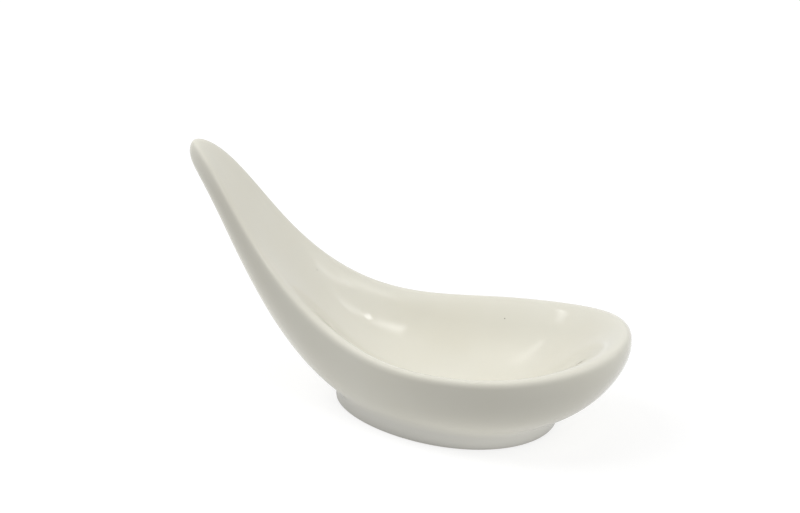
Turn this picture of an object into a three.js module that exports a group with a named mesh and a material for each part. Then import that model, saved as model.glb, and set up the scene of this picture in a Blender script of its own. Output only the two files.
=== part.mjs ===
// A finger food spoon of glazed porcelain, fired in one piece: an egg-shaped bowl stands on
// a low oval foot, and a handle sweeps up from the bowl's narrow end to a rounded tip.
//
// Lengths are in millimetres. +X points to the bowl's front lip, the handle rises towards
// -X, +Z is up and the foot stands on z = 0. Left and right are mirror images.

import { CubicBezierCurve3, Group, Mesh, MeshStandardMaterial, Vector3, Vector4 } from 'three';
import { NURBSCurve } from 'three/addons/curves/NURBSCurve.js';
import { LoftGeometry } from 'three/addons/geometries/LoftGeometry.js';

// Driving dimensions of the rim. The rim line lies on a sheet that is level over the bowl
// and bent up along the handle.
const SPOON_LENGTH = 120;
const BOWL_WIDTH = 52;
const RIM_HEIGHT = 19.2;
const HANDLE_RISE = 45.4;
const FRONT_LIP_RISE = 7.2;

// Driving dimensions of the walls. The hull's depth is measured down to where the rounded
// outside would bottom out if the foot didn't cut it off.
const HULL_DEPTH = 25;
const HOLLOW_DEPTH = 16.8;
const LIP_THICKNESS = 4.6;
const LIP_HEIGHT = 2.1;

// Driving dimensions of the foot. The fillet starts a little below the line where the foot's
// wall meets the hull, and ends a little above it.
const FOOT_LENGTH = 60.2;
const FOOT_WIDTH = 40.6;
const FOOT_AHEAD = 11.4;
const FOOT_HEIGHT = 4.6;
const FOOT_EDGE_RADIUS = 0.45;
const FOOT_RING_WIDTH = 3.2;
const RECESS_DEPTH = 1.6;
const FILLET_BELOW = 1.4;
const FILLET_ABOVE = 1.6;

// Tables that run evenly from the handle's tip to the front lip. Each one steers a smooth
// curve and doesn't have to be touched by it.
const WIDTH_SHARES = [0.237, 0.247, 0.261, 0.353, 0.502, 0.591, 0.668, 0.747];
const HANDLE_RISE_SHARES = [1, 0.948, 0.468, 0.105, 0, 0, 0, 0, 0];
const FRONT_RISE_SHARES = [0, 0, 0, 0, 0, 0.18, 0.46, 0.86, 1];
const HULL_DEPTH_SHARES = [0.46, 0.31, 0.34, 0.67, 0.89, 0.87, 0.86, 0.81, 0.74];
const HULL_STEEPNESS_SHARES = [1, 1, 1, 0.97, 0.84, 0.8, 0.84, 0.95, 1];
const HOLLOW_DEPTH_SHARES = [0.05, 0.05, 0.05, 0.22, 0.8, 1, 1.02, 0.97, 0.9];
const HOLLOW_STEEPNESS_SHARES = [2.2, 2.2, 2.2, 1.4, 1.2, 1.7, 2.2];
const EDGE_LIFT_SHARES = [0.7, 0.75, 0.75, 0.6, 0.4, 0.5, 0.7];
const LIP_THICKNESS_SHARES = [0.5, 0.5, 0.62, 0.9, 1, 1, 1];

// Shapes of the sections. A power of 2 is round and a higher one is fuller at the sides;
// a steepness of 0.5 makes the edge at the rim upright and 1 makes it a shallow dish.
const HULL_POWER = 2.9;
const HULL_STEEPNESS = 0.5;
const HOLLOW_POWER = 2.4;
const HOLLOW_STEEPNESS = 0.7;
const RECESS_POWER = 6;
const FOOT_EGG_SHARE = 0.115;
const FRONT_LEAN_SHARE = 0.34;
const REAR_LEAN_SHARE = 0.02;
const DISH_CENTRE_SHARE = 0.3;
const LIP_END_SHARE = 0.88;

// How far the fillet and the lip keep to the surfaces that they join, as shares of the gap.
const FILLET_WALL_SHARE = 0.28;
const FILLET_HULL_SHARE = 0.55;
const LIP_OUTER_SHARE = 4 / 3;
const LIP_INNER_SHARE = 1.1;

// Counts of facets round the spoon and along each stretch of its profile.
const STATIONS = 96;
const RECESS_STEPS = 5;
const EDGE_STEPS = 3;
const FILLET_STEPS = 5;
const HULL_STEPS = 11;
const LIP_STEPS = 8;
const HOLLOW_STEPS = 14;
const SEARCH_STEPS = 40;
const WALL_SEARCH_STEPS = 12;
const TINY_SHARE = 0.0001;

const HALF_LENGTH = SPOON_LENGTH / 2;
const HALF_FOOT_LENGTH = FOOT_LENGTH / 2;
const HALF_FOOT_WIDTH = FOOT_WIDTH / 2;

// Turns a table of shares into a smooth curve. It is read at a place from 0 to 1.
function shareCurve(shares) {
  const degree = 3;
  const spans = shares.length - degree;
  const knots = [];
  for (let i = 0; i <= shares.length + degree; i++) {
    knots.push(Math.min(Math.max(i - degree, 0), spans) / spans);
  }
  const points = shares.map((share) => new Vector4(share, 0, 0, 1));
  const curve = new NURBSCurve(degree, knots, points);
  return (place) => curve.getPoint(place).x;
}

const widthShare = shareCurve(WIDTH_SHARES);
const handleRiseShare = shareCurve(HANDLE_RISE_SHARES);
const frontRiseShare = shareCurve(FRONT_RISE_SHARES);
const hullDepthShare = shareCurve(HULL_DEPTH_SHARES);
const hullSteepnessShare = shareCurve(HULL_STEEPNESS_SHARES);
const hollowDepthShare = shareCurve(HOLLOW_DEPTH_SHARES);
const hollowSteepnessShare = shareCurve(HOLLOW_STEEPNESS_SHARES);
const edgeLiftShare = shareCurve(EDGE_LIFT_SHARES);
const lipThicknessShare = shareCurve(LIP_THICKNESS_SHARES);

// The place along the tables of a point at x.
function placeAt(x) {
  return (x / HALF_LENGTH + 1) / 2;
}

// Height of the bent sheet that carries the rim line.
function sheetHeight(x) {
  const place = placeAt(x);
  return RIM_HEIGHT + HANDLE_RISE * handleRiseShare(place) + FRONT_LIP_RISE * frontRiseShare(place);
}

// Upward normal of the sheet at x.
function sheetNormal(x) {
  const step = SPOON_LENGTH * TINY_SHARE;
  const back = Math.max(x - step, -HALF_LENGTH);
  const ahead = Math.min(x + step, HALF_LENGTH);
  const rise = sheetHeight(ahead) - sheetHeight(back);
  return new Vector3(-rise, 0, ahead - back).normalize();
}

// The point that lies a depth under the sheet, square to it.
function underSheet(x, y, depth) {
  return new Vector3(x, y, sheetHeight(x)).addScaledVector(sheetNormal(x), -depth);
}

// The outside and the hollow are both drawn over a unit disc, whose edge is the rim:
// forward is -1 at the tip and 1 at the front lip, and across is -1 and 1 at the sides.
function fullness(forward, across, power, steepness) {
  const out = Math.min(Math.hypot(forward, across), 1);
  return Math.pow(1 - Math.pow(out, power), steepness);
}

function hullPoint(forward, across) {
  const x = HALF_LENGTH * forward;
  const place = placeAt(x);
  const y = BOWL_WIDTH * widthShare(place) * across;
  const steepness = HULL_STEEPNESS * hullSteepnessShare(place);
  const full = fullness(forward, across, HULL_POWER, steepness);
  return underSheet(x, y, HULL_DEPTH * hullDepthShare(place) * full);
}

// The hollow lies inside the lip, whose thickness is less at the handle's tip. Its edge is
// lifted above the rim line, so that the lip's crest carries on into it.
function hollowPoint(forward, across) {
  const lip = LIP_THICKNESS * lipThicknessShare((forward + 1) / 2);
  const x = (HALF_LENGTH - lip) * forward;
  const place = placeAt(x);
  const y = (BOWL_WIDTH * widthShare(place) - lip) * across;
  const steepness = HOLLOW_STEEPNESS * hollowSteepnessShare(place);
  const full = fullness(forward, across, HOLLOW_POWER, steepness);
  const lift = LIP_HEIGHT * edgeLiftShare(place);
  return underSheet(x, y, HOLLOW_DEPTH * hollowDepthShare(place) * full - lift);
}

// The hollow at a station: reach is 0 on the floor of the bowl and 1 at the hollow's edge.
function dishPoint(angle, reach) {
  const forward = DISH_CENTRE_SHARE * (1 - reach) + Math.cos(angle) * reach;
  return hollowPoint(forward, Math.sin(angle) * reach);
}

// The foot's egg-shaped outline, narrower towards the handle, grown outwards by an offset.
function footPoint(angle, offset, z) {
  const egg = 1 + FOOT_EGG_SHARE * Math.cos(angle);
  const x = FOOT_AHEAD + HALF_FOOT_LENGTH * Math.cos(angle);
  const y = HALF_FOOT_WIDTH * Math.sin(angle) * egg;
  const alongX = -HALF_FOOT_LENGTH * Math.sin(angle);
  const alongY = HALF_FOOT_WIDTH * (Math.cos(angle) + FOOT_EGG_SHARE * Math.cos(2 * angle));
  const outward = new Vector3(alongY, -alongX, 0).normalize();
  return new Vector3(x, y, z).addScaledVector(outward, offset);
}

// How far the foot's wall leans out, as a share of its height: most at the front.
function footLean(angle) {
  const ahead = (1 + Math.cos(angle)) / 2;
  return REAR_LEAN_SHARE + (FRONT_LEAN_SHARE - REAR_LEAN_SHARE) * ahead;
}

// The place on the disc from which the hull hangs right over the top of the foot's wall.
function wallOnDisc(angle) {
  const wall = footPoint(angle, footLean(angle) * FOOT_HEIGHT, 0);
  let forward = wall.x / HALF_LENGTH;
  let across = 0;
  for (let i = 0; i < WALL_SEARCH_STEPS; i++) {
    across = wall.y / (BOWL_WIDTH * widthShare((forward + 1) / 2));
    forward -= (hullPoint(forward, across).x - wall.x) / SPOON_LENGTH;
  }
  return { forward, across };
}

// The height at which the hull comes out over the foot's wall.
function meetingHeight(angle) {
  const place = wallOnDisc(angle);
  return hullPoint(place.forward, place.across).z;
}

// The place on the disc, out over the foot's wall, where the hull is at a height.
function seatOnDisc(angle, height) {
  const wallPlace = wallOnDisc(angle);
  const middle = FOOT_AHEAD / HALF_LENGTH;
  const placeOut = (reach) => ({
    forward: middle + (wallPlace.forward - middle) * reach,
    across: wallPlace.across * reach,
  });
  let low = 0;
  let high = 1;
  let seat = placeOut(high);
  while (Math.hypot(seat.forward, seat.across) < 1) {
    high *= 2;
    seat = placeOut(high);
  }
  for (let i = 0; i < SEARCH_STEPS; i++) {
    const reach = (low + high) / 2;
    seat = placeOut(reach);
    if (hullPoint(seat.forward, seat.across).z > height) high = reach;
    else low = reach;
  }
  return seat;
}

// The hull at a station: rise is 0 at the seat and 1 at the rim.
function sidePoint(angle, seat, rise) {
  const out = 1 - (1 - rise) * (1 - rise);
  const forward = seat.forward + (Math.cos(angle) - seat.forward) * out;
  const across = seat.across + (Math.sin(angle) - seat.across) * out;
  return hullPoint(forward, across);
}

// Points along a curve, without its first one.
function along(curve, steps) {
  return curve.getPoints(steps).slice(1);
}

// The recess under the foot, from its middle to the ring that stands on the table. At the
// middle all stations meet in one point, which closes the solid there.
function recessProfile(angle) {
  const edge = footPoint(angle, -FOOT_RING_WIDTH, 0);
  const middle = new Vector3(FOOT_AHEAD, 0, 0);
  const points = [];
  for (let i = 0; i <= RECESS_STEPS; i++) {
    const reach = i / RECESS_STEPS;
    const point = middle.clone().lerp(edge, reach);
    point.z = RECESS_DEPTH * (1 - Math.pow(reach, RECESS_POWER));
    points.push(point);
  }
  return points;
}

// The rounded bottom edge of the foot and its wall, which leans outwards as it rises.
function footProfile(angle, top) {
  const points = [];
  for (let i = 0; i <= EDGE_STEPS; i++) {
    const turn = ((i / EDGE_STEPS) * Math.PI) / 2;
    const z = FOOT_EDGE_RADIUS * (1 - Math.cos(turn));
    const offset = FOOT_EDGE_RADIUS * (Math.sin(turn) - 1) + footLean(angle) * z;
    points.push(footPoint(angle, offset, z));
  }
  points.push(footPoint(angle, footLean(angle) * top, top));
  return points;
}

// The hollow fillet that carries the foot's wall over into the hull.
function filletProfile(angle, seat, wallTop) {
  const wallFoot = footPoint(angle, 0, 0);
  const hullEnd = sidePoint(angle, seat, 0);
  const hullNext = sidePoint(angle, seat, TINY_SHARE);
  const gap = hullEnd.distanceTo(wallTop);
  const upWall = wallTop.clone().sub(wallFoot).normalize();
  const downHull = hullEnd.clone().sub(hullNext).normalize();
  const wallGuide = wallTop.clone().addScaledVector(upWall, gap * FILLET_WALL_SHARE);
  const hullGuide = hullEnd.clone().addScaledVector(downHull, gap * FILLET_HULL_SHARE);
  return along(new CubicBezierCurve3(wallTop, wallGuide, hullGuide, hullEnd), FILLET_STEPS);
}

function hullProfile(angle, seat) {
  const points = [];
  for (let i = 1; i <= HULL_STEPS; i++) points.push(sidePoint(angle, seat, i / HULL_STEPS));
  return points;
}

// The rounded lip, from the outer rim over its crest and down into the hollow.
function lipProfile(angle) {
  const outerRim = hullPoint(Math.cos(angle), Math.sin(angle));
  const innerRim = hollowPoint(Math.cos(angle), Math.sin(angle));
  const dishTop = dishPoint(angle, LIP_END_SHARE);
  const dishNext = dishPoint(angle, LIP_END_SHARE - TINY_SHARE);
  const upDish = dishTop.clone().sub(dishNext).normalize();
  const upRim = sheetNormal(outerRim.x);
  const lip = LIP_HEIGHT * lipThicknessShare((Math.cos(angle) + 1) / 2);
  const reach = dishTop.distanceTo(innerRim) * LIP_INNER_SHARE + lip;
  const outerGuide = outerRim.clone().addScaledVector(upRim, LIP_HEIGHT * LIP_OUTER_SHARE);
  const innerGuide = dishTop.clone().addScaledVector(upDish, reach);
  return along(new CubicBezierCurve3(outerRim, outerGuide, innerGuide, dishTop), LIP_STEPS);
}

// The rest of the hollow, down to the one point of its floor where all stations meet.
function hollowProfile(angle) {
  const points = [];
  for (let i = 1; i <= HOLLOW_STEPS; i++) {
    const down = i / HOLLOW_STEPS;
    points.push(dishPoint(angle, LIP_END_SHARE * (1 - down) * (1 + down / 2)));
  }
  return points;
}

// One station's whole profile: out under the foot, up the outside, over the lip and down
// into the bowl.
function profileAt(angle) {
  const meeting = meetingHeight(angle);
  const seat = seatOnDisc(angle, meeting + FILLET_ABOVE);
  const foot = footProfile(angle, meeting - FILLET_BELOW);
  const wallTop = foot[foot.length - 1];
  return [
    ...recessProfile(angle),
    ...foot,
    ...filletProfile(angle, seat, wallTop),
    ...hullProfile(angle, seat),
    ...lipProfile(angle),
    ...hollowProfile(angle),
  ];
}

// The solid is a loft through closed rings, one for each step of the profile.
function spoonGeometry() {
  const profiles = [];
  for (let i = 0; i < STATIONS; i++) profiles.push(profileAt((i / STATIONS) * 2 * Math.PI));
  const rings = profiles[0].map((point, step) => profiles.map((profile) => profile[step]));
  const geometry = new LoftGeometry(rings);
  geometry.computeBoundingBox();
  const middle = geometry.boundingBox.getCenter(new Vector3());
  geometry.translate(-middle.x, -middle.y, -geometry.boundingBox.min.z);
  return geometry;
}

const porcelain = new MeshStandardMaterial({ color: 0xe9e6da, roughness: 0.12, metalness: 0 });

const spoon = new Mesh(spoonGeometry(), porcelain);
spoon.name = 'spoon';

const fingerFoodSpoon = new Group();
fingerFoodSpoon.name = 'finger_food_spoon';
fingerFoodSpoon.add(spoon);

export default fingerFoodSpoon;
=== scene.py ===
# %% [markdown]
# # A finger food spoon in glazed porcelain
#
# The real spoon is one casting: an egg-shaped bowl on a low oval foot, and a handle that sweeps up out of
# the bowl's rear to a rounded tip. It was fired once, dipped in a clear glossy glaze and fired again.
# This lesson builds it in Blender as one lofted surface, gives it a glaze, and lights it like a small
# studio. The packed solid model is loaded first, as the frame that everything has to fit.

# %% Load the frame
import bpy
import numpy as np
from mathutils import Matrix, Quaternion, Vector


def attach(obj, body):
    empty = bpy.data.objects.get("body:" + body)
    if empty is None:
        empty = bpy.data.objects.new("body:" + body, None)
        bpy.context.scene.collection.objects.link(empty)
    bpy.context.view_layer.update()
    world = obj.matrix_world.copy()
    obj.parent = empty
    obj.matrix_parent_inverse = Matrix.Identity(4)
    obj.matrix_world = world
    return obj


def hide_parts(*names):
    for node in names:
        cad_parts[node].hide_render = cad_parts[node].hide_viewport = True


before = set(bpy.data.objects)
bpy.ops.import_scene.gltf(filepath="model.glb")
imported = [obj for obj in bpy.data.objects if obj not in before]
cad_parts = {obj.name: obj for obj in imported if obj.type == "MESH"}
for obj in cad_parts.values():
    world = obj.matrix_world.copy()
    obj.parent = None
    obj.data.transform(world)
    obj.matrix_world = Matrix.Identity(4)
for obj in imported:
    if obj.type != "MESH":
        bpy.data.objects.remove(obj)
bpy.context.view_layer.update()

print("nodes of the solid model:", len(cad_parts))

# %% [markdown]
# ## The sizes
#
# A potter would draw the spoon from a few sizes, and so does this lesson. They are the same ones as in
# the solid model, in millimetres here and turned into metres when the mesh is made. The tables say how a
# size changes from the handle's tip to the front lip, as shares of the size that they belong to.

# %% Sizes of the spoon
MM = 0.001

SPOON_LENGTH = 120
BOWL_WIDTH = 52
RIM_HEIGHT = 19.2
HANDLE_RISE = 45.4
FRONT_LIP_RISE = 7.2
HULL_DEPTH = 25
HOLLOW_DEPTH = 16.8
LIP_THICKNESS = 4.6
LIP_HEIGHT = 2.1

FOOT_LENGTH = 60.2
FOOT_WIDTH = 40.6
FOOT_AHEAD = 11.4
FOOT_HEIGHT = 4.6
FOOT_EDGE_RADIUS = 0.45
FOOT_RING_WIDTH = 3.2
RECESS_DEPTH = 1.6
FILLET_BELOW = 1.4
FILLET_ABOVE = 1.6

HALF_LENGTH = SPOON_LENGTH / 2
print("the spoon is", SPOON_LENGTH, "mm long and its bowl is", BOWL_WIDTH, "mm wide")

# %% Shares from the tip to the lip
WIDTH_SHARES = [0.237, 0.247, 0.261, 0.353, 0.502, 0.591, 0.668, 0.747]
HANDLE_RISE_SHARES = [1, 0.948, 0.468, 0.105, 0, 0, 0, 0, 0]
FRONT_RISE_SHARES = [0, 0, 0, 0, 0, 0.18, 0.46, 0.86, 1]
HULL_DEPTH_SHARES = [0.46, 0.31, 0.34, 0.67, 0.89, 0.87, 0.86, 0.81, 0.74]
HOLLOW_DEPTH_SHARES = [0.05, 0.05, 0.05, 0.22, 0.8, 1, 1.02, 0.97, 0.9]
EDGE_LIFT_SHARES = [0.7, 0.75, 0.75, 0.6, 0.4, 0.5, 0.7]
LIP_THICKNESS_SHARES = [0.5, 0.5, 0.62, 0.9, 1, 1, 1]

HULL_POWER = 2.9
HULL_STEEPNESS = 0.5
HULL_STEEPNESS_SHARES = [1, 1, 1, 0.97, 0.84, 0.8, 0.84, 0.95, 1]
HOLLOW_POWER = 2.4
HOLLOW_STEEPNESS = 0.7
HOLLOW_STEEPNESS_SHARES = [2.2, 2.2, 2.2, 1.4, 1.2, 1.7, 2.2]
RECESS_POWER = 6
FOOT_EGG_SHARE = 0.115
FRONT_LEAN_SHARE = 0.34
REAR_LEAN_SHARE = 0.02
DISH_CENTRE_SHARE = 0.3
LIP_END_SHARE = 0.88
FILLET_WALL_SHARE = 0.28
FILLET_HULL_SHARE = 0.55
LIP_OUTER_SHARE = 4 / 3
LIP_INNER_SHARE = 1.1

SMALL_STEP = 0.0001
lip_at_tip = LIP_THICKNESS * LIP_THICKNESS_SHARES[0]
print("the lip is", lip_at_tip, "mm thick at the tip and", LIP_THICKNESS, "mm at the bowl")

# %% [markdown]
# ## Smooth curves from short tables
#
# A table of seven to nine shares has to become a curve without a kink, because a glossy glaze shows every
# kink as a broken reflection. A cubic B-spline does that: it blends the shares near a place with smooth
# weights. Working out the weights for many places at once keeps the lesson fast.


# %% A smooth curve through a table
def spline_weights(count, place):
    """How much each of count shares weighs at a place from 0 to 1, on a clamped cubic B-spline."""
    knots = np.concatenate([[0] * 3, np.linspace(0, 1, count - 2), [1] * 3])
    just_under_one = 1 - 1e-12
    place = np.clip(place, 0, just_under_one)[..., None]
    weights = ((place >= knots[:-1]) & (place < knots[1:])).astype(float)
    for degree in (1, 2, 3):
        rise = knots[degree:-1] - knots[: -degree - 1]
        fall = knots[degree + 1:] - knots[1:-degree]
        up = (place - knots[: -degree - 1]) / np.where(rise > 0, rise, 1) * (rise > 0)
        down = (knots[degree + 1:] - place) / np.where(fall > 0, fall, 1) * (fall > 0)
        weights = up * weights[..., :-1] + down * weights[..., 1:]
    return weights


def share_at(shares, place):
    return spline_weights(len(shares), np.asarray(place, float)) @ np.array(shares, float)


widths = 2 * BOWL_WIDTH * share_at(WIDTH_SHARES, np.linspace(0, 1, 5))
print("widths of the drawn oval from tip to lip, mm:", widths.round(1))

# %% [markdown]
# ## The bent sheet under the rim
#
# Seen from above the rim is an egg, and seen from the side it is a line that runs level along the bowl
# and then climbs the handle. Both are caught by one bent sheet that is curved along the spoon and
# straight across it. Every surface of the spoon is then drawn as a depth under this sheet.


# %% The bent sheet
def place_at(x):
    return (x / HALF_LENGTH + 1) / 2


def sheet_height(x):
    place = place_at(x)
    rise = HANDLE_RISE * share_at(HANDLE_RISE_SHARES, place)
    return RIM_HEIGHT + rise + FRONT_LIP_RISE * share_at(FRONT_RISE_SHARES, place)


def sheet_normal(x):
    step = SPOON_LENGTH * SMALL_STEP
    back = np.maximum(x - step, -HALF_LENGTH)
    ahead = np.minimum(x + step, HALF_LENGTH)
    normal = np.stack([sheet_height(back) - sheet_height(ahead), 0 * x, ahead - back], -1)
    return normal / np.linalg.norm(normal, axis=-1, keepdims=True)


def under_sheet(x, y, depth):
    return np.stack([x, y, sheet_height(x)], -1) - sheet_normal(x) * depth[..., None]


ends = sheet_height(np.array([-HALF_LENGTH, HALF_LENGTH]))
print("height of the rim line at the tip and at the lip, mm:", ends.round(1))

# %% [markdown]
# ## The outside and the hollow
#
# Both are drawn over a round disc whose edge is the rim. Towards the middle of the disc the surface gets
# deeper, and two numbers set the character of the section: the power says how full it is, and the
# steepness says how upright it stands at the rim. The outside is full and upright like the side of a
# boat, and the hollow is softer, like a dish that a finger could wipe clean.


# %% The outside and the hollow
def fullness(forward, across, power, steepness):
    out = np.minimum(np.hypot(forward, across), 1)
    return (1 - out ** power) ** steepness


def hull_point(forward, across):
    x = HALF_LENGTH * forward
    y = BOWL_WIDTH * share_at(WIDTH_SHARES, place_at(x)) * across
    depth = HULL_DEPTH * share_at(HULL_DEPTH_SHARES, place_at(x))
    steepness = HULL_STEEPNESS * share_at(HULL_STEEPNESS_SHARES, place_at(x))
    return under_sheet(x, y, depth * fullness(forward, across, HULL_POWER, steepness))


def hollow_point(forward, across):
    lip = LIP_THICKNESS * share_at(LIP_THICKNESS_SHARES, (forward + 1) / 2)
    x = (HALF_LENGTH - lip) * forward
    y = (BOWL_WIDTH * share_at(WIDTH_SHARES, place_at(x)) - lip) * across
    depth = HOLLOW_DEPTH * share_at(HOLLOW_DEPTH_SHARES, place_at(x))
    lift = LIP_HEIGHT * share_at(EDGE_LIFT_SHARES, place_at(x))
    steepness = HOLLOW_STEEPNESS * share_at(HOLLOW_STEEPNESS_SHARES, place_at(x))
    return under_sheet(x, y, depth * fullness(forward, across, HOLLOW_POWER, steepness) - lift)


def dish_point(angle, reach):
    """The hollow at a station: reach is 0 on the floor of the bowl and 1 at the hollow's edge."""
    forward = DISH_CENTRE_SHARE * (1 - reach) + np.cos(angle) * reach
    return hollow_point(forward, np.sin(angle) * reach)


floor_of_bowl = dish_point(np.array([0.0]), np.array([0.0]))[0]
print("the floor of the bowl is", floor_of_bowl[2].round(1), "mm above the table")

# %% [markdown]
# ## The foot
#
# The foot is a low oval wall, a little narrower towards the handle, that leans outwards as it rises. On
# the real spoon it keeps the bowl level and lifts the glazed belly off the kiln shelf. Its outline can be
# grown or shrunk square to itself, so one function draws the wall, the rounded edge and the inner ring.


# %% The foot
def foot_point(angle, offset, z):
    egg = 1 + FOOT_EGG_SHARE * np.cos(angle)
    x = FOOT_AHEAD + FOOT_LENGTH / 2 * np.cos(angle)
    y = FOOT_WIDTH / 2 * np.sin(angle) * egg
    along_x = -FOOT_LENGTH / 2 * np.sin(angle)
    along_y = FOOT_WIDTH / 2 * (np.cos(angle) + FOOT_EGG_SHARE * np.cos(2 * angle))
    outward = np.stack([along_y, -along_x], -1)
    outward = outward / np.linalg.norm(outward, axis=-1, keepdims=True)
    return np.stack([x + outward[..., 0] * offset, y + outward[..., 1] * offset, 0 * x + z], -1)


def foot_lean(angle):
    """How far the foot's wall leans out, as a share of its height: most at the front."""
    return REAR_LEAN_SHARE + (FRONT_LEAN_SHARE - REAR_LEAN_SHARE) * (1 + np.cos(angle)) / 2


ring_at_front = foot_point(np.array([0.0]), 0.0, 0.0)[0]
print("the foot reaches forward to x =", ring_at_front[0].round(1), "mm")


# %% Rings of the foot
def shares_after_zero(steps):
    """Even shares up to 1. The 0 is left out, because the ring before it already stands there."""
    return np.linspace(0, 1, steps + 1)[1:]


def recess_rings(angle, steps):
    """From the middle of the recess under the foot to the ring that stands on the table."""
    edge = foot_point(angle, -FOOT_RING_WIDTH, 0)
    middle = np.array([FOOT_AHEAD, 0, 0])
    rings = []
    for reach in np.linspace(0, 1, steps + 1):
        ring = middle + (edge - middle) * reach
        ring[:, 2] = RECESS_DEPTH * (1 - reach ** RECESS_POWER)
        rings.append(ring)
    return rings


def foot_rings(angle, top, edge_steps, wall_steps):
    """The rounded bottom edge of the foot, and then its wall."""
    rings = []
    for turn in np.linspace(0, np.pi / 2, edge_steps + 1):
        z = FOOT_EDGE_RADIUS * (1 - np.cos(turn))
        offset = FOOT_EDGE_RADIUS * (np.sin(turn) - 1) + foot_lean(angle) * z
        rings.append(foot_point(angle, offset, z))
    for rise in shares_after_zero(wall_steps):
        z = FOOT_EDGE_RADIUS + (top - FOOT_EDGE_RADIUS) * rise
        rings.append(foot_point(angle, foot_lean(angle) * z, z))
    return rings


deepest = recess_rings(np.array([0.0]), 1)[0][0]
print("the recess under the foot is", deepest[2], "mm deep")

# %% [markdown]
# ## Where the belly meets the foot
#
# The belly comes down over the foot's wall at a different height in each direction. A first search finds
# the place on the disc from which the belly hangs right over the wall, and reads the height there. The
# fillet starts a little below it on the wall and ends a little above it on the belly. A second search
# halves the gap again and again until it has the place on the belly that is this high.


# %% The seat of the belly on the foot
NEARING_STEPS = 12
DOUBLINGS = 8
HALVINGS = 40


def wall_outline(angle):
    return foot_point(angle, foot_lean(angle) * FOOT_HEIGHT, 0)


def over_wall(wall):
    """The place on the disc from which the belly hangs right over the foot's wall."""
    forward = wall[:, 0] / HALF_LENGTH
    for _ in range(NEARING_STEPS):
        across = wall[:, 1] / (BOWL_WIDTH * share_at(WIDTH_SHARES, (forward + 1) / 2))
        forward = forward - (hull_point(forward, across)[:, 0] - wall[:, 0]) / SPOON_LENGTH
    return forward, across


def meeting_height(angle):
    """The height at which the belly comes out over the foot's wall."""
    return hull_point(*over_wall(wall_outline(angle)))[:, 2]


def seat_on_disc(angle, height):
    """The farthest place out over the foot where the belly isn't above a height yet."""
    wall_forward, wall_across = over_wall(wall_outline(angle))
    middle = FOOT_AHEAD / HALF_LENGTH
    low = 0 * angle
    high = 0 * angle + 1

    def place_out(reach):
        return middle + (wall_forward - middle) * reach, wall_across * reach

    for _ in range(DOUBLINGS):
        inside = np.hypot(*place_out(high)) < 1
        high = np.where(inside, 2 * high, high)
    for _ in range(HALVINGS):
        reach = (low + high) / 2
        too_high = hull_point(*place_out(reach))[:, 2] > height
        high = np.where(too_high, reach, high)
        low = np.where(too_high, low, reach)
    return place_out((low + high) / 2)


front_and_rear = meeting_height(np.array([0.0, np.pi]))
print("the belly meets the wall this high at the front and at the rear, mm:", front_and_rear.round(1))

# %% [markdown]
# ## From the seat up to the rim
#
# The outside climbs from its seat on the foot to the rim. Its rings lie closer together near the rim,
# where the surface turns fastest.


# %% The outside from seat to rim
def side_point(angle, seat, rise):
    """The outside at a station: rise is 0 at the seat and 1 at the rim."""
    out = 1 - (1 - rise) ** 2
    forward = seat[0] + (np.cos(angle) - seat[0]) * out
    across = seat[1] + (np.sin(angle) - seat[1]) * out
    return hull_point(forward, across)


beside = np.array([np.pi / 2])
seat_beside = seat_on_disc(beside, meeting_height(beside) + FILLET_ABOVE)
halfway = side_point(beside, seat_beside, 0.5)[0]
print("halfway along and halfway up, the belly is", (2 * halfway[1]).round(1), "mm wide")

# %% [markdown]
# ## The fillet and the lip
#
# Two soft turns finish the section: the hollow fillet between the foot's wall and the belly, and the
# rounded lip between the outside and the hollow. Wet clay is sponged round at both places. Each is a
# cubic curve with four guide points, so it leaves one surface and meets the next without a kink.


# %% The two soft turns
def cubic(points, steps):
    """Rings along a cubic curve through four guide rings, without the first one."""
    a, b, c, d = points
    rings = []
    for t in shares_after_zero(steps):
        rings.append(a * (1 - t) ** 3 + 3 * b * t * (1 - t) ** 2 + 3 * c * t * t * (1 - t) + d * t ** 3)
    return rings


def straight_on(start, end):
    direction = end - start
    return direction / np.linalg.norm(direction, axis=-1, keepdims=True)


def distance(start, end):
    return np.linalg.norm(end - start, axis=-1, keepdims=True)


def fillet_rings(angle, seat, wall_top, steps):
    hull_end = side_point(angle, seat, 0)
    down_hull = straight_on(side_point(angle, seat, SMALL_STEP), hull_end)
    up_wall = straight_on(foot_point(angle, 0, 0), wall_top)
    gap = distance(wall_top, hull_end)
    wall_guide = wall_top + up_wall * gap * FILLET_WALL_SHARE
    hull_guide = hull_end + down_hull * gap * FILLET_HULL_SHARE
    return cubic((wall_top, wall_guide, hull_guide, hull_end), steps)


def lip_rings(angle, steps):
    outer_rim = hull_point(np.cos(angle), np.sin(angle))
    inner_rim = hollow_point(np.cos(angle), np.sin(angle))
    dish_top = dish_point(angle, LIP_END_SHARE)
    up_dish = straight_on(dish_point(angle, LIP_END_SHARE - SMALL_STEP), dish_top)
    lip = LIP_HEIGHT * share_at(LIP_THICKNESS_SHARES, (np.cos(angle) + 1) / 2)[:, None]
    reach = distance(dish_top, inner_rim) * LIP_INNER_SHARE + lip
    outer_guide = outer_rim + sheet_normal(outer_rim[:, 0]) * LIP_HEIGHT * LIP_OUTER_SHARE
    return cubic((outer_rim, outer_guide, dish_top + up_dish * reach, dish_top), steps)


crest = max(ring[0, 2] for ring in lip_rings(np.array([np.pi / 2]), 8))
print("halfway along the spoon the lip's crest is", crest.round(1), "mm above the table")

# %% [markdown]
# ## One loft for the whole spoon
#
# The real spoon has no seam, so the model has none either. Rings are laid from the middle of the recess,
# out under the foot, up the belly, over the lip and down to the floor of the bowl, and one skin runs
# through them all. A subdivided cage could do the same with fewer points, but it would cut the corners
# of the foot and the lip, and here the rings can simply be as fine as the glaze's reflections need.

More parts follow.
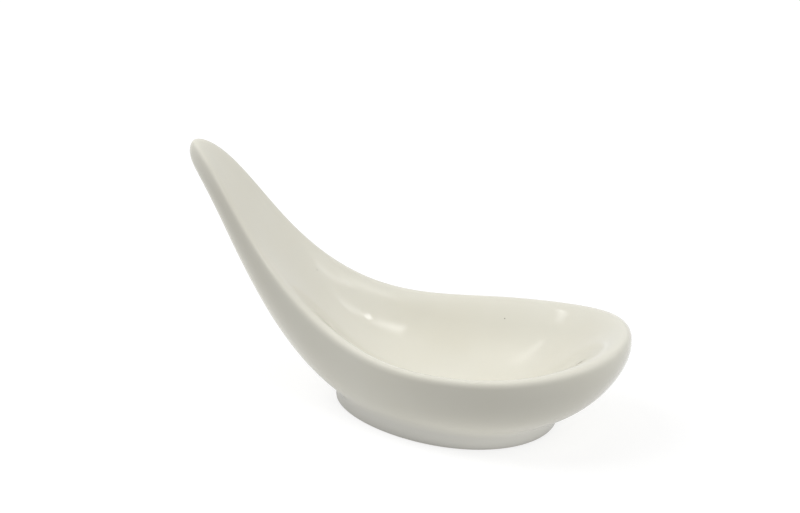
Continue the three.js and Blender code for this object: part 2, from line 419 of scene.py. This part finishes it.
# %% Lay the rings
STATIONS = 256
STEPS = {"recess": 14, "edge": 6, "wall": 4, "fillet": 14, "belly": 30, "lip": 22, "hollow": 40}

angles = np.arange(STATIONS) / STATIONS * 2 * np.pi
meeting = meeting_height(angles)
seat = seat_on_disc(angles, meeting + FILLET_ABOVE)
foot = foot_rings(angles, meeting - FILLET_BELOW, STEPS["edge"], STEPS["wall"])
parts_of_profile = {
    "recess": recess_rings(angles, STEPS["recess"]),
    "foot": foot,
    "fillet": fillet_rings(angles, seat, foot[-1], STEPS["fillet"]),
    "belly": [side_point(angles, seat, rise) for rise in shares_after_zero(STEPS["belly"])],
    "lip": lip_rings(angles, STEPS["lip"]),
    "hollow": [dish_point(angles, LIP_END_SHARE * (1 - down) * (1 + down / 2))
               for down in shares_after_zero(STEPS["hollow"])],
}
rings = np.array([ring for part in parts_of_profile.values() for ring in part])
ring_counts = {name: len(part) for name, part in parts_of_profile.items()}
print("the fold above the foot runs between", meeting.min().round(1), "and", meeting.max().round(1), "mm")
print("rings:", ring_counts, "each of", STATIONS, "points")


# %% Skin the rings
def skin(rings):
    """Points and faces of a closed skin, whose first and last rings are single points."""
    count = rings.shape[1]
    points = np.concatenate([rings[0, :1], rings[1:-1].reshape(-1, 3), rings[-1, :1]])
    last = len(points) - 1
    around = np.arange(count)
    pairs = [(int(a), int(b)) for a, b in zip(around, (around + 1) % count)]
    faces = [(0, b + 1, a + 1) for a, b in pairs]
    for step in range(len(rings) - 3):
        low = 1 + step * count
        high = low + count
        faces += [(low + a, low + b, high + b, high + a) for a, b in pairs]
    top = 1 + (len(rings) - 3) * count
    faces += [(top + a, top + b, last) for a, b in pairs]
    return points, faces


points, faces = skin(rings)
middle = (points.min(0) + points.max(0)) / 2
points = (points - [middle[0], middle[1], points[:, 2].min()]) * MM
print("skin:", len(points), "points and", len(faces), "faces")

# %% Make the spoon
spoon_mesh = bpy.data.meshes.new("porcelain_body")
spoon_mesh.from_pydata(points.tolist(), [], faces)
spoon_mesh.shade_smooth()
spoon = bpy.data.objects.new("porcelain_body", spoon_mesh)
bpy.context.scene.collection.objects.link(spoon)
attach(spoon, "root")
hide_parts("spoon")
print("size of the spoon in mm:", (np.ptp(points, axis=0) / MM).round(2))

# %% [markdown]
# ## Marks for the finish and the painted shade
#
# A glaze is a liquid while it is fired, and the potter wipes it off the ring that stands on the kiln
# shelf; that wiped ring is a guess. The foot's wall and the fillet above it get a greyer colour, which is
# painted shade: the shade that the table close by throws on them. A third mark is for the lip, where the
# gloss is held back further below. The rings know where those places are, so the marks are written onto
# the points, from 0 to 1, and the material reads them.

# %% Write the marks
BARE_BELOW = 0.18
GLAZED_ABOVE = 0.48
LIP_START_SHARE = 0.4
HOLLOW_START_SHARE = 0.15

ring_part = np.repeat(list(ring_counts), list(ring_counts.values()))
part_share = np.concatenate([(np.arange(n) + 1) / n for n in ring_counts.values()])
ring_height = rings[:, :, 2].mean(axis=1)


def on_part(part, values):
    """The values on the rings of one part, and 0 on all the others."""
    return np.where(ring_part == part, values, 0)


def mark(name, ring_values):
    """A mark on the points, with one value for each ring."""
    around = np.repeat(ring_values[1:-1], STATIONS)
    values = np.concatenate([ring_values[:1], around, ring_values[-1:]])
    layer = spoon_mesh.attributes.new(name, "FLOAT", "POINT")
    layer.data.foreach_set("value", values.astype(np.float32))
    print("mark", name, "is set on", int((values > 0.5).sum()), "points")


near_table = np.clip((GLAZED_ABOVE - ring_height) / (GLAZED_ABOVE - BARE_BELOW), 0, 1)
up_lip = np.clip(part_share / LIP_START_SHARE, 0, 1)
into_hollow = np.clip(1 - part_share / HOLLOW_START_SHARE, 0, 1)
# painted shade: the foot's wall is greyed for the table's shade, fading out up the fillet
mark("painted_foot_shade", on_part("foot", 1) + on_part("fillet", 1 - part_share))
mark("lip", on_part("lip", up_lip) + on_part("hollow", into_hollow))
mark("bare_clay", on_part("foot", near_table) + on_part("recess", near_table))

# %% [markdown]
# ## Shader sums in plain Python
#
# A material is a net of nodes, and a net of sums is hard to read as a list of nodes and links. The small
# class below wraps one socket. Adding, multiplying or subtracting wraps makes the Math nodes, and its
# one method for other nodes takes the node's type, its settings and what goes into its sockets.


# %% Wrap a socket
class Wire:
    """A socket in a node tree. Sums with wires add Math nodes to the same tree."""

    def __init__(self, tree, socket=None):
        self.tree = tree
        self.socket = socket

    def node(self, kind, settings=None, inputs=None, output=0):
        new = self.tree.nodes.new(kind)
        row, column = divmod(len(self.tree.nodes), 9)
        new.location = (200 * column, -260 * row)
        for name, value in (settings or {}).items():
            setattr(new, name, value)
        for name, value in (inputs or {}).items():
            if isinstance(value, Wire):
                self.tree.links.new(value.socket, new.inputs[name])
            else:
                new.inputs[name].default_value = value
        return Wire(self.tree, new.outputs[output] if new.outputs else None)

    def math(self, operation, *values):
        return self.node("ShaderNodeMath", {"operation": operation}, dict(enumerate(values)))

    def __add__(self, other):
        return self.math("ADD", self, other)

    def __sub__(self, other):
        return self.math("SUBTRACT", self, other)

    def __rsub__(self, other):
        return self.math("SUBTRACT", other, self)

    def __mul__(self, other):
        return self.math("MULTIPLY", self, other)

    __radd__ = __add__
    __rmul__ = __mul__

    def at_most(self, other):
        return self.math("MINIMUM", self, other)

    def at_least(self, other):
        return self.math("MAXIMUM", self, other)

    def step(self, low, high):
        """0 below low, 1 above high, and a smooth climb between them. The two may be swapped."""
        values = {"Value": self, "From Min": low, "From Max": high}
        return self.node("ShaderNodeMapRange", {"interpolation_type": "SMOOTHSTEP"}, values)

    def vector(self, operation, *values, output="Vector"):
        """Vector Math, with this wire as the first vector."""
        inputs = dict(enumerate((self, *values)))
        return self.node("ShaderNodeVectorMath", {"operation": operation}, inputs, output)

    def axis(self, name):
        """The X, Y or Z of a vector."""
        return self.node("ShaderNodeSeparateXYZ", inputs={"Vector": self}, output=name)

    def paint(self, under, over):
        """The colour over where this wire is 1, and under where it is 0."""
        return self.node("ShaderNodeMix", {"data_type": "RGBA"}, {0: self, 6: under, 7: over}, 2)

    def choose(self, off, on):
        """The shader on where this wire is 1, and off where it is 0."""
        return self.node("ShaderNodeMixShader", inputs={0: self, 1: off, 2: on})

    def glow(self):
        """A shader that glows in this wire's colour."""
        return self.node("ShaderNodeEmission", inputs={"Color": self, "Strength": 1.0})

    def cover(self):
        """Puts this wire's shader on the material."""
        self.node("ShaderNodeOutputMaterial", inputs={"Surface": self})


print("a wire can do:", [name for name in vars(Wire) if not name.startswith("__")])


# %% Start a material
def new_material(name):
    material = bpy.data.materials.new(name)
    material.use_nodes = True
    material.node_tree.nodes.clear()
    return material, Wire(material.node_tree)


def grey(value):
    return (value, value, value, 1)


porcelain, start = new_material("glazed_porcelain")
print("the material", porcelain.name, "starts empty")

# %% [markdown]
# ## The glaze
#
# Fired porcelain is a warm ivory white. The glaze over it is clear, smooth and hard, with an even gloss
# that still isn't perfect: it has a very gentle orange peel, its colour drifts by a percent or two, and
# here and there a speck of iron has burnt a dark pinprick. One Principled shader holds both layers, the
# white body as its base colour and the glaze as its sharp reflection.
#
# The floor of the bowl and the lip at the handle are made a touch duller, and that isn't wear seen in the
# picture. The bright panes at the end of the lesson are mirrored there a second time, at places where the
# real spoon doesn't show them, because this shape isn't quite the real one. The duller glaze spreads
# those second images out. Under other light it can be set to 0.

# %% Where things are on the glaze
place = start.node("ShaderNodeTexCoord", output="Object")


def noise(size_mm, detail=2.0):
    """A soft random field whose lumps are about size_mm across."""
    values = {"Vector": place, "Scale": 1 / (size_mm * MM), "Detail": detail, "Roughness": 0.5}
    return start.node("ShaderNodeTexNoise", inputs=values, output="Fac")


def point_mark(name):
    return start.node("ShaderNodeAttribute", {"attribute_name": name}, output="Fac")


def spot(x, y, z, radius):
    """1 on a spot at a place in millimetres, and 0 around it, with a soft edge."""
    gap = place.vector("DISTANCE", (x * MM, y * MM, z * MM), output="Value")
    return gap.step(radius * MM * 1.4, radius * MM * 0.6)


EDGE_WAVE = 0.6
wavy_edge = (noise(3) - 0.5) * EDGE_WAVE
bare = (point_mark("bare_clay") + wavy_edge).step(0.35, 0.65)
print("the bare clay has a wavy edge, as a wiped glaze has")

# %% Specks in the glaze
SPECK_CELL = 7
SPECK_SHARE = 0.025
RARE_ABOVE = 0.94
SPECK_STRENGTH = 0.5
FAINT_STRENGTH = 0.08

cells = {"Vector": place, "Scale": 1 / (SPECK_CELL * MM)}
gap_to_cell = start.node("ShaderNodeTexVoronoi", {"feature": "F1"}, cells, "Distance")
cell_colour = start.node("ShaderNodeTexVoronoi", {"feature": "F1"}, cells, "Color")
cell_number = start.node("ShaderNodeSeparateColor", inputs={"Color": cell_colour}, output="Red")
on_speck = gap_to_cell.step(SPECK_SHARE + 0.01, SPECK_SHARE - 0.01)
scattered = on_speck * cell_number.step(RARE_ABOVE - 0.01, RARE_ABOVE + 0.01) * SPECK_STRENGTH
pinprick = spot(21.5, 19.7, 18.6, 0.15)
faint_mark = spot(-27.3, 6.2, 30.8, 0.4) * FAINT_STRENGTH
specks = (scattered + pinprick + faint_mark).at_most(1.0)
print("about one cell of", SPECK_CELL, "mm in", round(1 / (1 - RARE_ABOVE)), "has a speck")

# %% Colour of the body and the glaze
IVORY = (0.800, 0.783, 0.690, 1)
WARMER_IVORY = (0.775, 0.748, 0.640, 1)
# painted shade: a grey for the foot's wall and fillet that stands in for the table's shade
PAINTED_FOOT_SHADE = (0.725, 0.712, 0.650, 1)
IRON_SPECK = (0.10, 0.075, 0.05, 1)
BARE_CLAY = (0.780, 0.745, 0.670, 1)
DRIFT_SHARE = 0.5

drift = noise(22, 3.0).step(0.3, 0.75) * DRIFT_SHARE
colour = drift.paint(IVORY, WARMER_IVORY)
# painted shade on the foot's wall and the fillet above it
colour = point_mark("painted_foot_shade").paint(colour, PAINTED_FOOT_SHADE)
colour = specks.paint(colour, IRON_SPECK)
colour = bare.paint(colour, BARE_CLAY)
print("ivory as written, in sRGB numbers:", [round(255 * c ** (1 / 2.2)) for c in IVORY[:3]])

# %% Gloss
GLOSSY = 0.03
GLOSS_DRIFT = 0.04
DULL_FLOOR = 0.17
DULL_LIP = 0.14
CLAY_ROUGHNESS = 0.8

outward = start.node("ShaderNodeTexCoord", output="Normal")
low_in_bowl = place.axis("Z").step(16 * MM, 12 * MM)
floor = low_in_bowl * outward.axis("Z").step(0.3, 0.7)
towards_handle = place.axis("X").step(25 * MM, 10 * MM)
lip_at_handle = point_mark("lip") * towards_handle
glaze_roughness = GLOSSY + noise(9, 3.0) * GLOSS_DRIFT + floor * DULL_FLOOR + lip_at_handle * DULL_LIP
roughness = glaze_roughness * (1 - bare) + bare * CLAY_ROUGHNESS
print("roughness runs from", GLOSSY, "on fresh glaze to", CLAY_ROUGHNESS, "on bare clay")

# %% Relief
PEEL_DEPTH = 0.012
RIPPLE_DEPTH = 0.0012
GRAIN_DEPTH = 0.03
PIN_DEPTH = 0.05

peel = noise(6, 1.0) * PEEL_DEPTH + noise(1.6, 1.0) * RIPPLE_DEPTH
clay_grain = noise(0.35, 3.0) * GRAIN_DEPTH
pin_dent = specks * -PIN_DEPTH
relief = (peel + pin_dent) * (1 - bare) + clay_grain * bare
bumps = {"Strength": 1.0, "Distance": MM, "Height": relief}
bump = start.node("ShaderNodeBump", inputs=bumps, output="Normal")
print("the orange peel is", PEEL_DEPTH, "mm deep")

# %% Put the layers together
GLAZE_IOR = 1.5

body = {"Base Color": colour, "Roughness": roughness, "Normal": bump, "IOR": GLAZE_IOR}
start.node("ShaderNodeBsdfPrincipled", inputs=body, output="BSDF").cover()
spoon_mesh.materials.append(porcelain)
print("the glaze has", len(porcelain.node_tree.nodes), "nodes")

# %% [markdown]
# ## The table and the white room
#
# The spoon stands on a white sheet in a white room, as in a shop's product picture. To the camera, and in
# the glaze's reflections, room and sheet are plain white, and the sheet takes a soft shadow. Only the
# shaded strip around the foot is darker in the glaze's reflections. The light that room and sheet throw
# on the spoon is worked out apart from that, so that the porcelain keeps its own tone.


# %% Rays that see the white room
def seen_directly(wire):
    """1 for the rays of the camera and of mirror images, and 0 for the light that falls on things."""
    kinds = ("Is Camera Ray", "Is Glossy Ray", "Is Transmission Ray")
    camera, glossy, clear = (wire.node("ShaderNodeLightPath", output=kind) for kind in kinds)
    return camera.at_least(glossy).at_least(clear)


def flat_card(name, corners, material):
    """A four-cornered card for the studio."""
    mesh = bpy.data.meshes.new(name)
    mesh.from_pydata(corners, [], [(0, 1, 2, 3)])
    mesh.materials.append(material)
    card = bpy.data.objects.new(name, mesh)
    bpy.context.scene.collection.objects.link(card)
    return card


print("sheet and panes will be flat cards")

# %% [markdown]
# ## The light that comes up from the sheet
#
# The belly of the spoon hangs over the table, and what the table throws back at it makes most of its
# shading. The sheet glows in oval rings, by the distance from the foot, with other values on the camera's
# side than behind: weak under the foot, bright just in front of it, weaker again further out, and
# brightest behind the spoon. These values weren't measured in a room. They were set by comparing tones,
# until the belly had the shading of the picture. Far out they fade into a plain room.

# %% How far from the foot a place on the sheet is
TOWARD_CAMERA = (0.357, -0.934, 0)

sheet_material, wire = new_material("white_sheet")
on_sheet = wire.node("ShaderNodeTexCoord", output="Object")
toward = on_sheet.vector("DOT_PRODUCT", TOWARD_CAMERA, output="Value")
from_foot = on_sheet.vector("SUBTRACT", (FOOT_AHEAD * MM, 0, 0))
round_foot = from_foot.vector("MULTIPLY", (1, FOOT_LENGTH / FOOT_WIDTH, 0))
gap = round_foot.vector("LENGTH", output="Value") - FOOT_LENGTH / 2 * MM


def beyond(start_mm, end_mm, inside, outside):
    """The colour outside beyond a distance from the foot, and inside nearer than that."""
    return gap.step(start_mm * MM, end_mm * MM).paint(inside, outside)


print("the foot is", FOOT_LENGTH, "mm long and the rings around it follow its oval")

# %% Rings of light on the sheet
UNDER_LIGHT = 0.42
NEAR_LIGHT = 1.05
FRONT_LIGHT = 0.54
SHADED_LIGHT = 0.7
BEHIND_LIGHT = 1.85
FAR_LIGHT = 0.18

front_side = beyond(2, 6, grey(UNDER_LIGHT), grey(NEAR_LIGHT))
front_side = beyond(16, 28, front_side, grey(FRONT_LIGHT))
back_side = beyond(2, 6, grey(UNDER_LIGHT), grey(SHADED_LIGHT))
back_side = beyond(12, 26, back_side, grey(BEHIND_LIGHT))
by_side = toward.step(-12 * MM, 12 * MM).paint(back_side, front_side)
thrown = beyond(120, 200, by_side, grey(FAR_LIGHT))
print("light from the sheet:", UNDER_LIGHT, "under the foot and", FAR_LIGHT, "far out")

# %% What the camera and the glaze see of the sheet
SHADOW_SHARE = 0.35
WHITE_GLOW = 0.72
MIRRORED_SHADE = 0.35

camera_ray = wire.node("ShaderNodeLightPath", output="Is Camera Ray")
in_mirror = gap.step(30 * MM, 0) * (1 - camera_ray)
shown = in_mirror.paint(beyond(200, 1500, grey(WHITE_GLOW), grey(1.0)), grey(MIRRORED_SHADE))
soft = wire.node("ShaderNodeBsdfDiffuse", inputs={"Color": grey(SHADOW_SHARE)})
white = wire.node("ShaderNodeAddShader", inputs={0: shown.glow(), 1: soft})
from_above = seen_directly(wire).choose(thrown.glow(), white)
from_below = wire.node("ShaderNodeNewGeometry", output="Backfacing")
clear = wire.node("ShaderNodeBsdfTransparent")
from_below.choose(from_above, clear).cover()
print("the sheet has", len(sheet_material.node_tree.nodes), "nodes and is clear from below")

# %% Lay the sheet
SHEET_HALF = 4
SHEET_BELOW = 0.05

corners = [(-SHEET_HALF, -SHEET_HALF, 0), (SHEET_HALF, -SHEET_HALF, 0),
           (SHEET_HALF, SHEET_HALF, 0), (-SHEET_HALF, SHEET_HALF, 0)]
sheet = flat_card("white_sheet", corners, sheet_material)
sheet.location.z = -SHEET_BELOW * MM
print("the sheet is", 2 * SHEET_HALF, "m square")

# %% The white room
ROOM_LIGHT = 0.34

world = bpy.data.worlds.new("white_room")
bpy.context.scene.world = world
world.use_nodes = True
world.node_tree.nodes.clear()
wire = Wire(world.node_tree)
dim, bright = (wire.node("ShaderNodeBackground", inputs={"Color": grey(1.0), "Strength": strength})
               for strength in (ROOM_LIGHT, 1.0))
room = seen_directly(wire).choose(dim, bright)
wire.node("ShaderNodeOutputWorld", inputs={"Surface": room})
print("the room gives", ROOM_LIGHT, "of white from every side")

# %% [markdown]
# ## The lamps
#
# Five soft boxes give the spoon its form: one overhead, one low from the front lip, one low from the
# handle, and two high up on the camera's side, to its right and to its left. Each is an area lamp that is
# aimed at the bowl. Their mirror images would make square patches that the picture doesn't have, so they
# are hidden from the glaze's reflections, and from the camera too.

# %% Hang the lamps
BOX_DISTANCE = 1.2
BOX_SIDE = 0.6
BOWL_CENTRE = Vector((0, 0, 0.02))


def direction(azimuth, elevation):
    """One metre towards a place in the room, with its angles in degrees."""
    a, e = np.radians(azimuth), np.radians(elevation)
    return Vector((np.cos(a) * np.cos(e), np.sin(a) * np.cos(e), np.sin(e)))


def soft_box(name, azimuth, elevation, radiance):
    """An area lamp aimed at the bowl, whose face is radiance times as bright as white paper."""
    lamp = bpy.data.lights.new(name, "AREA")
    lamp.shape = "RECTANGLE"
    lamp.size = BOX_SIDE
    lamp.size_y = BOX_SIDE
    lamp.energy = radiance * np.pi * BOX_SIDE * BOX_SIDE
    box = bpy.data.objects.new(name, lamp)
    away = direction(azimuth, elevation)
    box.location = away * BOX_DISTANCE + BOWL_CENTRE
    box.rotation_euler = away.to_track_quat("Z", "Y").to_euler()
    box.visible_camera = False
    box.visible_glossy = False
    bpy.context.scene.collection.objects.link(box)
    print(name, "at", [round(c, 2) for c in box.location], "m")


soft_box("right_box", azimuth=-22, elevation=56, radiance=1.9)
soft_box("left_box", azimuth=-159, elevation=60, radiance=3.3)
soft_box("top_box", azimuth=0, elevation=90, radiance=1.4)
soft_box("handle_box", azimuth=180, elevation=40, radiance=2.5)
soft_box("bowl_box", azimuth=0, elevation=30, radiance=2.45)

# %% [markdown]
# ## Bright panes in the mirror of the glaze
#
# The glaze mirrors the windows and lamps of the photographer's room as small bright patches. Each patch
# in the picture was traced back over the surface to the direction that it mirrors. A glowing pane hangs
# there, with soft long edges and slanted ends. The panes show in mirror images only, so they move or
# vanish as the spoon is turned, and they add nothing to the plain light on it.


# %% Look of a pane
def pane_material(name, half_width, half_height, left, right):
    """Left and right are how bright the two ends are, where the room's white is 1."""
    material, wire = new_material(name)
    on_pane = wire.node("ShaderNodeTexCoord", output="Object")
    across = on_pane.axis("Y")
    brightness = on_pane.axis("X").step(-half_width, half_width).paint(grey(left), grey(right))
    inside = across.math("ABSOLUTE", across).step(half_height, 0.1 * half_height)
    inside.paint(grey(1.0), brightness).glow().cover()
    return material


print("a pane fades to the room's white at its long edges")


# %% Hang the panes
def pane(name, seen_at, azimuth, elevation, tilt, width_m, height_m, slant_m, left, right):
    """A glowing pane, one metre from the place where the glaze shows it."""
    w, h = width_m / 2, height_m / 2
    corners = [(-w - slant_m, -h, 0), (w - slant_m, -h, 0), (w + slant_m, h, 0), (-w + slant_m, h, 0)]
    card = flat_card(name, corners, pane_material(name, w, h, left, right))
    away = direction(azimuth, elevation)
    tilted = Quaternion((0, 0, 1), np.radians(tilt))
    card.location = away + Vector(seen_at) * MM
    card.rotation_euler = (away.to_track_quat("Z", "Y") @ tilted).to_euler()
    card.visible_camera = False
    card.visible_diffuse = False
    card.visible_shadow = False
    print(name, "at", [round(c, 2) for c in card.location], "m")


pane("band_pane", seen_at=(-7.4, 9.7, 15.7), azimuth=-18, elevation=55.9, tilt=-12.7,
     width_m=0.37, height_m=0.21, slant_m=0.21, left=5.2, right=3.0)
pane("spot_pane", seen_at=(-13, 7.9, 18.4), azimuth=2.0, elevation=50.0, tilt=-8.6,
     width_m=0.17, height_m=0.05, slant_m=0.03, left=8.5, right=8.0)
pane("streak_pane", seen_at=(-17, 6.1, 20.8), azimuth=20.8, elevation=44.1, tilt=-25.6,
     width_m=0.37, height_m=0.06, slant_m=0.03, left=2.9, right=2.9)
pane("bowl_pane", seen_at=(36.8, 18.6, 21.6), azimuth=179, elevation=45.0, tilt=-36,
     width_m=0.32, height_m=0.20, slant_m=0.03, left=4.0, right=2.4)

# %% [markdown]
# ## The camera
#
# The photograph was taken from a little above and from in front of the spoon's side. The numbers come
# from matching the outline, the rim and the foot to the picture all at once.

# %% Place the camera
AZIMUTH = 20.9
ELEVATION = 24.3
CAMERA_DISTANCE = 450
SIDE_OFFSET = -1.085
HEIGHT_OFFSET = 38.05
PIXELS_PER_MM = 3.736
PHOTO_WIDTH = 800

a, e = np.radians(AZIMUTH), np.radians(ELEVATION)
right = np.array([np.cos(a), np.sin(a), 0])
up = np.array([-np.sin(a) * np.sin(e), np.cos(a) * np.sin(e), np.cos(e)])
back = np.cross(right, up)
eye = right * SIDE_OFFSET + up * HEIGHT_OFFSET + back * CAMERA_DISTANCE - [middle[0], middle[1], 0]

camera_data = bpy.data.cameras.new("photo_camera")
camera_data.sensor_width = 36
camera_data.lens = PIXELS_PER_MM * CAMERA_DISTANCE / PHOTO_WIDTH * camera_data.sensor_width
camera_data.clip_start = 0.01
camera = bpy.data.objects.new("photo_camera", camera_data)
turn = Matrix([[*row] for row in np.stack([right, up, back], axis=1)]).to_4x4()
camera.matrix_world = Matrix.Translation(Vector(eye * MM)) @ turn
bpy.context.scene.collection.objects.link(camera)
bpy.context.scene.camera = camera
print("lens:", round(camera_data.lens, 1), "mm, eye at", [round(c * MM, 3) for c in eye], "m")

# %% [markdown]
# ## Finish
#
# The picture keeps Blender's plain colour transform.

# %% Finish
bpy.context.scene.view_settings.view_transform = "Standard"
